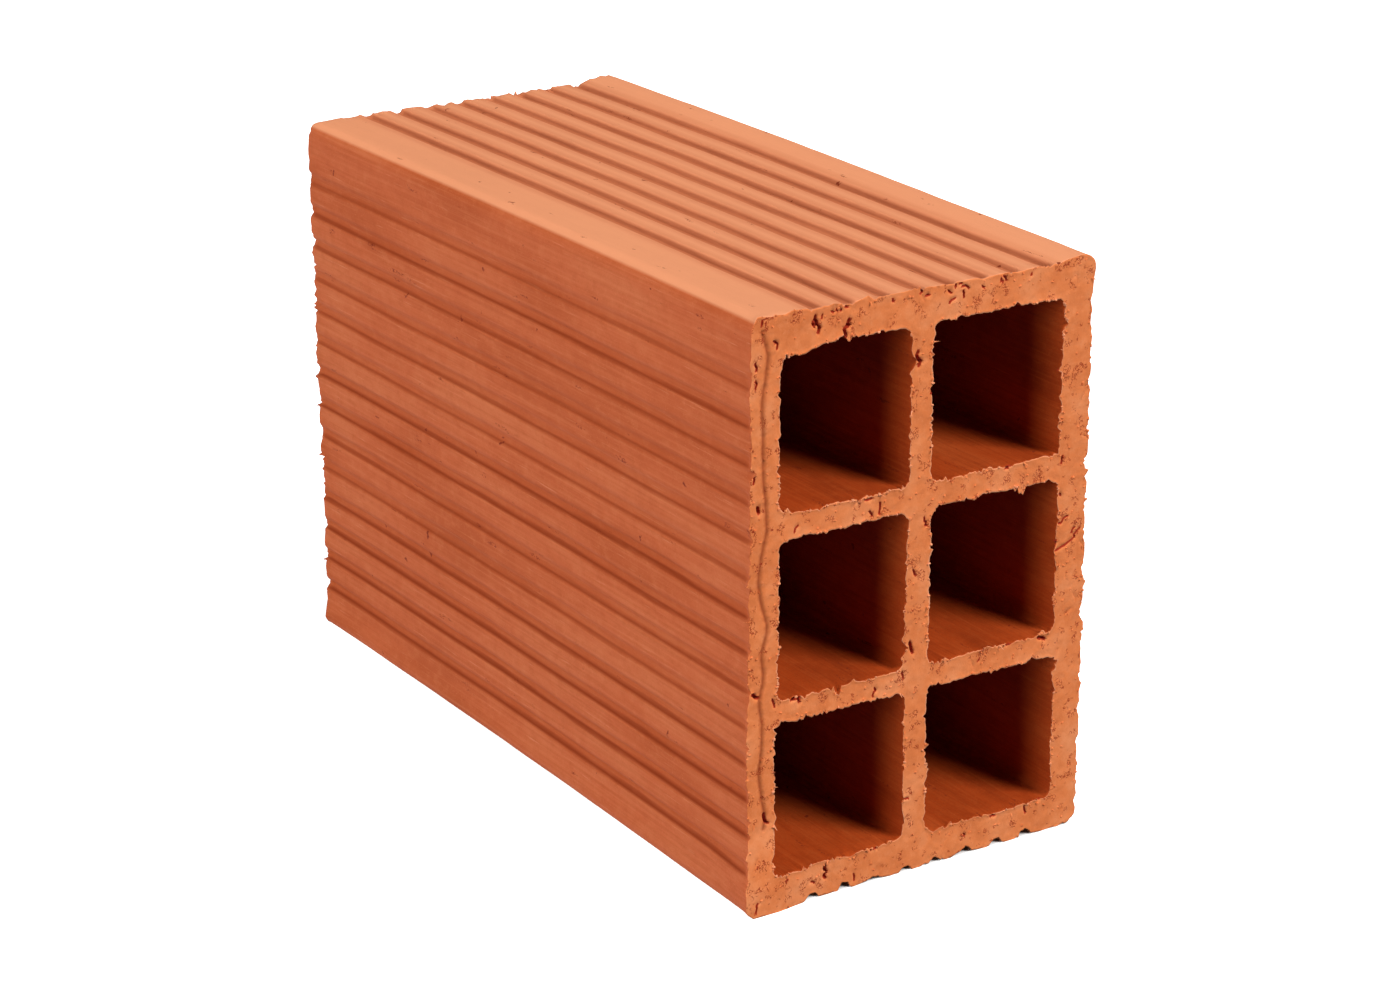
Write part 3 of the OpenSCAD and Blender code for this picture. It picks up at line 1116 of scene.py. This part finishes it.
@dataclass
class Relief:
    """The Geometry Nodes that press the grooves into a blank and roughen its clay.

    Attributes:
        brick: The brick whose sizes it takes.
        worn: Depth of a usual groove, as a share of the die's.
        wander: How far a groove wanders sideways in millimetres.
        sag: How far the brick's middle bows sideways in millimetres.
        skin: Unevenness of the long faces in millimetres.
        cut: Unevenness of the cut ends in millimetres.
        burr: Height of the burr on the rims in millimetres.
        tree: The tree.
        given: The tree's inputs.
        place: The position of each vertex.
        axes: The parts of that position.
        stored: The blank's attributes.
    """

    brick: Brick
    worn: float = 0.8
    wander: float = 0.3
    sag: float = 0.9
    skin: float = 0.18
    cut: float = 0.24
    burr: float = 0.2
    tree: bpy.types.NodeTree = field(init=False)
    given: bpy.types.bpy_prop_collection = field(init=False)
    place: bpy.types.Node = field(init=False)
    axes: bpy.types.bpy_prop_collection = field(init=False)
    stored: dict[str, bpy.types.NodeSocket] = field(init=False)

    def __post_init__(self) -> None:
        """Start the tree with its inputs and the blank's attributes."""
        brick = self.brick
        self.tree = geometry_tree(
            "Press grooves and roughen clay",
            {
                **{f"{width.name.title()} tears": "NodeSocketObject" for width in Width},
                "Groove depth": brick.groove_depth * self.worn * MM,
                "Groove mouth": brick.groove_mouth * MM, "Groove floor": brick.groove_floor * MM,
                "Wander": self.wander * MM, "Bow": self.sag * MM, "Half length": brick.high[0] * MM,
                "Skin relief": self.skin * MM, "Cut relief": self.cut * MM, "Burr": self.burr * MM,
            },
        )
        self.given = add(self.tree, "NodeGroupInput").outputs
        self.place = add(self.tree, "GeometryNodeInputPosition")
        self.axes = add(self.tree, "ShaderNodeSeparateXYZ", {0: self.place}).outputs
        self.stored = {
            name: add(
                self.tree, "GeometryNodeInputNamedAttribute", {"Name": name}, data_type=kind
            ).outputs[0]
            for name, kind in (("across", "FLOAT"), ("groove", "FLOAT"), ("press", "FLOAT"),
                               ("inward", "FLOAT_VECTOR"), ("cut", "FLOAT"), ("lip", "FLOAT"),
                               ("bed", "FLOAT"))
        }

    def build(self, materials: list[bpy.types.Material]) -> bpy.types.NodeTree:
        """Finish the tree.

        Args:
            materials: The finish of each region, in the order of Region.

        Returns:
            The tree.
        """
        tree, given, stored = self.tree, self.given, self.stored
        groove, hollow, crease = self.groove()
        depth, torn, seam = self.tear_depth()
        outward = add(tree, "ShaderNodeMath", {0: self.axes["X"]}, operation="SIGN")
        lift = add(tree, "ShaderNodeMath", {0: stored["lip"], 1: given["Burr"]}, operation="MULTIPLY")
        lift = add(tree, "ShaderNodeMath", {0: lift, 1: depth}, operation="SUBTRACT")
        lift = add(tree, "ShaderNodeMath", {0: outward, 1: lift}, operation="MULTIPLY")
        offset = add(tree, "ShaderNodeCombineXYZ", {"X": lift})
        for part in (groove, self.unevenness(), self.bow()):
            offset = add(tree, "ShaderNodeVectorMath", {0: offset, 1: part}, operation="ADD")
        shaped = given["Geometry"]
        # Keep the masks where the finishes paint shade: tears, seam, grooves and their steep walls
        for name, value in (("torn", torn), ("seam", seam), ("hollow", hollow), ("crease", crease)):
            shaped = add(
                tree, "GeometryNodeStoreNamedAttribute",
                {"Geometry": shaped, "Name": name, "Value": value}, data_type="FLOAT", domain="POINT",
            )
        shaped = add(tree, "GeometryNodeSetPosition", {"Geometry": shaped, "Offset": offset})
        shaped = add(tree, "GeometryNodeRealizeInstances", {"Geometry": shaped})
        region = add(tree, "GeometryNodeInputNamedAttribute", {"Name": "region"}, data_type="INT")
        for kind in Region:
            here = add(
                tree, "FunctionNodeCompare", {2: region, 3: int(kind)}, data_type="INT", operation="EQUAL"
            )
            shaped = add(
                tree, "GeometryNodeSetMaterial",
                {"Geometry": shaped, "Selection": here, "Material": materials[kind]},
            )
        add(tree, "NodeGroupOutput", {"Geometry": shaped})
        return tree

    def groove(self) -> tuple[bpy.types.Node, bpy.types.Node, bpy.types.Node]:
        """Add the nodes that press the grooves, each a little uneven along its length.

        Returns:
            The offset of each vertex, a mask of the grooves and one of their steep walls, both for the
            painted shade in them.
        """
        tree, given, axes, stored = self.tree, self.given, self.axes, self.stored
        spot = add(tree, "ShaderNodeCombineXYZ", {"X": axes["X"], "Y": stored["groove"]})
        spot = add(tree, "ShaderNodeVectorMath", {0: spot, 1: (1 / 0.045, 3.7, 1.0)}, operation="MULTIPLY")
        wobble = add(tree, "ShaderNodeTexNoise", {"Vector": spot, "Scale": 1.0, "Detail": 2.0})
        shift = add(
            tree, "ShaderNodeMapRange",
            {"Value": wobble.outputs["Fac"], "From Min": 0.3, "From Max": 0.7, "To Min": -1.0, "To Max": 1.0},
            clamp=False,
        )
        shift = add(
            tree, "ShaderNodeMath", {0: shift, 1: given["Wander"], 2: stored["across"]},
            operation="MULTIPLY_ADD",
        )
        # A gentle wall before the middle of the groove, and a steep one after it
        shape = None
        for width, share, other, other_share in (
            ("Groove mouth", -0.48, "Groove floor", -0.1), ("Groove mouth", 0.42, "Groove floor", 0.46),
        ):
            edge = add(tree, "ShaderNodeMath", {0: given[width], 1: share}, operation="MULTIPLY")
            foot = add(tree, "ShaderNodeMath", {0: given[other], 1: other_share}, operation="MULTIPLY")
            wall = add(
                tree, "ShaderNodeMapRange", {"Value": shift, "From Min": edge, "From Max": foot},
                interpolation_type="SMOOTHSTEP",
            )
            shape = wall if shape is None else add(
                tree, "ShaderNodeMath", {0: shape, 1: wall}, operation="MULTIPLY"
            )
        uneven = add(
            tree, "ShaderNodeMapRange",
            {"Value": wobble.outputs["Color"], "From Min": 0.3, "From Max": 0.7,
             "To Min": 0.75, "To Max": 1.2},
            clamp=False,
        )
        hollow = add(tree, "ShaderNodeMath", {0: shape, 1: stored["press"]}, operation="MULTIPLY")
        depth = add(tree, "ShaderNodeMath", {0: hollow, 1: given["Groove depth"]}, operation="MULTIPLY")
        depth = add(tree, "ShaderNodeMath", {0: depth, 1: uneven}, operation="MULTIPLY")
        offset = add(tree, "ShaderNodeVectorMath", {0: stored["inward"], "Scale": depth}, operation="SCALE")
        # A narrow mask along the steep wall, where the finish paints shade; it is fainter on the beds
        middle = add(tree, "ShaderNodeMath", {0: given["Groove floor"], 1: 0.62}, operation="MULTIPLY")
        off = add(tree, "ShaderNodeMath", {0: shift, 1: middle}, operation="SUBTRACT")
        off = add(tree, "ShaderNodeMath", {0: off}, operation="ABSOLUTE")
        crease = add(
            tree, "ShaderNodeMapRange", {"Value": off, "From Min": 0.7 * MM, "From Max": 0.1 * MM},
            interpolation_type="SMOOTHSTEP",
        )
        crease = add(tree, "ShaderNodeMath", {0: crease, 1: stored["press"]}, operation="MULTIPLY")
        fainter = add(tree, "ShaderNodeMath", {0: stored["bed"], 1: -0.8, 2: 1.0}, operation="MULTIPLY_ADD")
        crease = add(tree, "ShaderNodeMath", {0: crease, 1: fainter}, operation="MULTIPLY")
        return offset, hollow, crease

    def unevenness(self) -> bpy.types.Node:
        """Add the nodes that make the long faces wavy and the cut ends rough.

        Returns:
            The offset of each vertex.
        """
        tree, given, place, stored = self.tree, self.given, self.place, self.stored
        normal = add(tree, "GeometryNodeInputNormal")
        total = None
        for wave, share, source in ((30.0, 1.0, "Skin relief"), (7.0, 0.4, "Skin relief"),
                                    (9.0, 0.6, "Cut relief"), (1.7, 0.9, "Cut relief")):
            noise = add(
                tree, "ShaderNodeTexNoise", {"Vector": place, "Scale": 1 / (wave * MM), "Detail": 1.0}
            )
            level = add(tree, "ShaderNodeMath", {0: noise.outputs["Fac"], 1: 0.5}, operation="SUBTRACT")
            for factor in (share * 2, given[source], stored["cut"] if source == "Cut relief" else 1.0):
                level = add(tree, "ShaderNodeMath", {0: level, 1: factor}, operation="MULTIPLY")
            total = level if total is None else add(
                tree, "ShaderNodeMath", {0: total, 1: level}, operation="ADD"
            )
        return add(tree, "ShaderNodeVectorMath", {0: normal, "Scale": total}, operation="SCALE")

    def tear_depth(self) -> tuple[bpy.types.Node, bpy.types.Node, bpy.types.Node]:
        """Add the nodes that open the tears and the seam.

        Returns:
            The depth at each vertex, a mask that is one in the tears, and one for the seam.
        """
        tree, given = self.tree, self.given
        depth, torn, seam = None, None, None
        for width, reach, deepest in ((Width.HAIR, 0.3, 0.25), (Width.SMALL, 0.34, 0.55),
                                      (Width.WIDE, 0.6, 1.2),
                                      (Width.SEAM, 0.75, 0.45)):
            lines = add(tree, "GeometryNodeObjectInfo", {"Object": given[f"{width.name.title()} tears"]},
                        transform_space="ORIGINAL")
            near = add(tree, "GeometryNodeProximity", {0: lines.outputs["Geometry"]}, target_element="EDGES")
            shape = add(
                tree, "ShaderNodeMapRange",
                {"Value": near.outputs["Distance"], "From Min": reach * MM, "From Max": 0.25 * reach * MM},
                interpolation_type="SMOOTHSTEP",
            )
            level = add(tree, "ShaderNodeMath", {0: shape, 1: deepest * MM}, operation="MULTIPLY")
            depth = level if depth is None else add(
                tree, "ShaderNodeMath", {0: depth, 1: level}, operation="MAXIMUM"
            )
            if width == Width.SEAM:
                seam = shape
            elif width != Width.HAIR:
                torn = shape if torn is None else add(
                    tree, "ShaderNodeMath", {0: torn, 1: shape}, operation="MAXIMUM"
                )
        return depth, torn, seam

    def bow(self) -> bpy.types.Node:
        """Add the nodes that bow the brick sideways, as it warped in drying.

        Returns:
            The offset of each vertex.
        """
        tree, given, axes = self.tree, self.given, self.axes
        share = add(tree, "ShaderNodeMath", {0: axes["X"], 1: given["Half length"]}, operation="DIVIDE")
        share = add(tree, "ShaderNodeMath", {0: share, 1: 2.0}, operation="POWER")
        share = add(tree, "ShaderNodeMath", {0: 1.0, 1: share}, operation="SUBTRACT")
        share = add(tree, "ShaderNodeMath", {0: share, 1: given["Bow"]}, operation="MULTIPLY")
        return add(tree, "ShaderNodeCombineXYZ", {"Y": share})


@dataclass(frozen=True)
class Crumbs:
    """Crumbs and drawn-out fibres of clay that cling to the cut ends and their rims.

    Attributes:
        per_area: Crumbs on each square millimetre of an end.
        per_rim: Crumbs on each square millimetre right at a rim.
        size: Radius of a crumb in millimetres.
        fibre: Length of a fibre in millimetres.
        lowest: Height under which none cling, in millimetres.
        seed: Seed of their places, sizes and turns.
    """

    per_area: float = 0.04
    per_rim: float = 0.9
    size: float = 0.4
    fibre: float = 1.5
    lowest: float = 2.5
    seed: int = 3

    def tree(self, material: bpy.types.Material) -> bpy.types.NodeTree:
        """Build the Geometry Nodes tree that scatters them over the brick.

        Args:
            material: Their finish.

        Returns:
            The tree.
        """
        tree = geometry_tree(
            "Scatter crumbs",
            {
                "Crumbs on the end": self.per_area / MM**2, "Crumbs on the rims": self.per_rim / MM**2,
                "Crumb size": self.size * MM, "Fibre length": self.fibre * MM, "Seed": self.seed,
                "Least height": self.lowest * MM,
            },
        )
        given = add(tree, "NodeGroupInput").outputs
        region = add(tree, "GeometryNodeInputNamedAttribute", {"Name": "region"}, data_type="INT")
        on_end = add(
            tree, "FunctionNodeCompare", {2: region, 3: int(Region.CUT)}, data_type="INT", operation="EQUAL"
        )
        place = add(tree, "ShaderNodeSeparateXYZ", {0: add(tree, "GeometryNodeInputPosition")})
        high = add(tree, "FunctionNodeCompare", {0: place.outputs["Z"], 1: given["Least height"]})
        on_end = add(tree, "FunctionNodeBooleanMath", {0: on_end, 1: high}, operation="AND")
        lip = add(tree, "GeometryNodeInputNamedAttribute", {"Name": "lip"}, data_type="FLOAT")
        crumb = add(tree, "GeometryNodeMeshIcoSphere", {"Radius": given["Crumb size"], "Subdivisions": 1})
        fibre = add(
            tree, "GeometryNodeMeshCone",
            {"Vertices": 5, "Radius Top": 0.03 * MM, "Radius Bottom": 0.22 * MM,
             "Depth": given["Fibre length"]},
        )
        parts = []
        for shape, rim_share, end_share, least, most in (
            (crumb, 1.0, 1.0, 0.35, 1.3), (fibre, 0.12, 0.02, 0.5, 1.2),
        ):
            rims = add(
                tree, "ShaderNodeMath", {0: given["Crumbs on the rims"], 1: rim_share}, operation="MULTIPLY"
            )
            density = add(
                tree, "ShaderNodeMath", {0: given["Crumbs on the end"], 1: end_share}, operation="MULTIPLY"
            )
            density = add(
                tree, "ShaderNodeMath", {0: lip, 1: rims, 2: density}, operation="MULTIPLY_ADD"
            )
            seed = add(tree, "ShaderNodeMath", {0: given["Seed"], 1: float(len(parts))}, operation="ADD")
            points = add(
                tree, "GeometryNodeDistributePointsOnFaces",
                {"Mesh": given["Geometry"], "Selection": on_end, "Density": density, "Seed": seed},
                distribute_method="RANDOM",
            )
            stretch = add(
                tree, "FunctionNodeRandomValue",
                {0: (least,) * 3, 1: (most,) * 3, "Seed": seed}, data_type="FLOAT_VECTOR",
            )
            turn = add(
                tree, "FunctionNodeRandomValue",
                {0: (-1.2,) * 3, 1: (1.2,) * 3, "Seed": seed}, data_type="FLOAT_VECTOR",
            )
            turned = add(
                tree, "FunctionNodeRotateRotation",
                {"Rotation": points.outputs["Rotation"], "Rotate By": turn}, rotation_space="LOCAL",
            )
            placed = add(
                tree, "GeometryNodeInstanceOnPoints",
                {"Points": points, "Instance": shape, "Rotation": turned, "Scale": stretch},
            )
            parts.append(placed)
        joined = add(tree, "GeometryNodeJoinGeometry")
        for part in parts:
            tree.links.new(part.outputs[0], joined.inputs[0])
        joined = add(tree, "GeometryNodeRealizeInstances", {"Geometry": joined})
        joined = add(tree, "GeometryNodeSetMaterial", {"Geometry": joined, "Material": material})
        add(tree, "NodeGroupOutput", {"Geometry": joined})
        return tree

    def build(self, brick: bpy.types.Object) -> bpy.types.Object:
        """Scatter the crumbs over a brick.

        Args:
            brick: The finished brick, which keeps its own mesh.

        Returns:
            The crumbs as one piece.
        """
        crumbs = bpy.data.objects.new("clay_crumbs", brick.data.copy())
        bpy.context.scene.collection.objects.link(crumbs)
        material = brick.data.materials[Region.CUT]
        run_tree(crumbs, self.tree(material), {})
        return crumbs


# ---------------------------------------------------------------------------------------------
# Studio
# ---------------------------------------------------------------------------------------------


@dataclass(frozen=True)
class Studio:
    """A pale floor, soft lights and the camera.

    Attributes:
        middle: The middle of the brick in metres.
        foot: Half the length and width in metres of the floor under the brick that doesn't glow.
        azimuth: Turn of the camera from straight before the near side, in degrees.
        elevation: Height of the camera over the horizon in degrees.
        roll: Turn of the camera round its own line of sight in degrees.
        distance: Distance of the camera from the middle in metres.
        slide: Shift of the camera to its right and up in millimetres.
        lens: Focal length in millimetres.
    """

    middle: Vector
    foot: Vector
    azimuth: float = 57.67
    elevation: float = 20.03
    roll: float = -0.26
    distance: float = 0.9261
    slide: tuple[float, float] = (6.42, -11.45)
    lens: float = 89.2

    def camera(self) -> None:
        """Place the camera."""
        turn, rise, roll = (math.radians(v) for v in (self.azimuth, self.elevation, self.roll))
        back = Vector((math.sin(turn) * math.cos(rise), -math.cos(turn) * math.cos(rise), math.sin(rise)))
        level = Vector((math.cos(turn), math.sin(turn), 0.0))
        upright = back.cross(level)
        right = math.cos(roll) * level + math.sin(roll) * upright
        up = math.cos(roll) * upright - math.sin(roll) * level
        spot = self.middle + self.distance * back + (self.slide[0] * right + self.slide[1] * up) * MM
        matrix = Matrix((right, up, back)).transposed().to_4x4()
        matrix.translation = spot
        data = bpy.data.cameras.new("camera")
        data.lens = self.lens
        data.sensor_width = 36.0
        data.clip_start = 0.01
        camera = bpy.data.objects.new("camera", data)
        camera.matrix_world = matrix
        bpy.context.scene.collection.objects.link(camera)
        bpy.context.scene.camera = camera

    def floor(self) -> None:
        """Lay the floor, which glows a little but for the strip round the brick's foot."""
        mesh = bpy.data.meshes.new("floor")
        half = 6.0
        corners = [(-half, -half, 0), (half, -half, 0), (half, half, 0), (-half, half, 0)]
        mesh.from_pydata(corners, [], [(0, 1, 2, 3)])
        material = bpy.data.materials.new("painted_floor")
        material.use_nodes = True
        tree = material.node_tree
        shader = tree.nodes["Principled BSDF"]
        shader.inputs["Base Color"].default_value = linear("#F4F3F1")
        shader.inputs["Roughness"].default_value = 0.9
        shader.inputs["Emission Color"].default_value = (1, 1, 1, 1)
        place = add(tree, "ShaderNodeTexCoord").outputs["Object"]
        size = add(tree, "ShaderNodeVectorMath", {0: place}, operation="ABSOLUTE")
        beyond = add(tree, "ShaderNodeVectorMath", {0: size, 1: self.foot}, operation="SUBTRACT")
        parts = add(tree, "ShaderNodeSeparateXYZ", {0: beyond}).outputs
        away = add(tree, "ShaderNodeMath", {0: parts["X"], 1: parts["Y"]}, operation="MAXIMUM")
        # The glow is painted light that washes out the brick's shadow on the floor
        glow = add(tree, "ShaderNodeMapRange", {"Value": away, "From Min": -0.001, "From Max": 0.002})
        tree.links.new(glow.outputs[0], shader.inputs["Emission Strength"])
        mesh.materials.append(material)
        floor = bpy.data.objects.new("floor", mesh)
        bpy.context.scene.collection.objects.link(floor)
        floor.visible_diffuse = False

    def light(self, name: str, azimuth: float, elevation: float, distance: float, size: float,
              power: float) -> None:
        """Hang one soft light that faces the brick.

        Args:
            name: The light's name.
            azimuth: Turn from straight before the near side in degrees.
            elevation: Height over the horizon in degrees.
            distance: Distance from the middle of the brick in metres.
            size: Width of the light in metres.
            power: Power in watts.
        """
        data = bpy.data.lights.new(name, "AREA")
        data.shape = "DISK"
        data.size = size
        data.energy = power
        turn, rise = math.radians(azimuth), math.radians(elevation)
        ray = Vector((math.sin(turn) * math.cos(rise), -math.cos(turn) * math.cos(rise), math.sin(rise)))
        lamp = bpy.data.objects.new(name, data)
        lamp.location = self.middle + distance * ray
        lamp.rotation_euler = ray.to_track_quat("Z", "Y").to_euler()
        bpy.context.scene.collection.objects.link(lamp)

    def build(self) -> None:
        """Set up the whole studio."""
        scene = bpy.context.scene
        scene.view_settings.view_transform = "Standard"
        world = bpy.data.worlds.new("studio")
        world.use_nodes = True
        world.node_tree.nodes["Background"].inputs["Color"].default_value = (1, 1, 1, 1)
        world.node_tree.nodes["Background"].inputs["Strength"].default_value = 0.02
        scene.world = world
        self.camera()
        self.floor()
        self.light("key", 118.0, 39.0, 6.0, 2.8, 440.0)
        self.light("side_fill", 6.0, 10.0, 4.0, 2.2, 162.0)
        self.light("ceiling", 0.0, 90.0, 3.0, 3.2, 24.0)


# ---------------------------------------------------------------------------------------------


def main() -> None:
    """Build the brick and its studio around the frame."""
    logging.basicConfig(level=logging.INFO, format="%(name)s: %(message)s")
    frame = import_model()
    low, high = (np.array(corner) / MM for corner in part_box("brick"))
    # The stated openings keep this far off the walls of the cells
    clear = 1.1
    cells = [
        (np.array(opening["box_m"][0][1:]) / MM - clear, np.array(opening["box_m"][1][1:]) / MM + clear)
        for opening in frame["record"]["physics"]["openings"]
    ]
    brick = Brick(low, high, cells).build()
    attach(brick, "root")
    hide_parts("brick")
    crumbs = Crumbs().build(brick)
    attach(crumbs, "root")
    for piece in (brick, crumbs):
        count = sum(len(face.vertices) - 2 for face in piece.data.polygons)
        LOG.info("%s: %d triangles", piece.name, count)
    foot = Vector((high[0] * MM, (high[1] - 3) * MM, 0.0))
    Studio(Vector((low + high) / 2 * MM), foot).build()


if __name__ == "__main__":
    main()
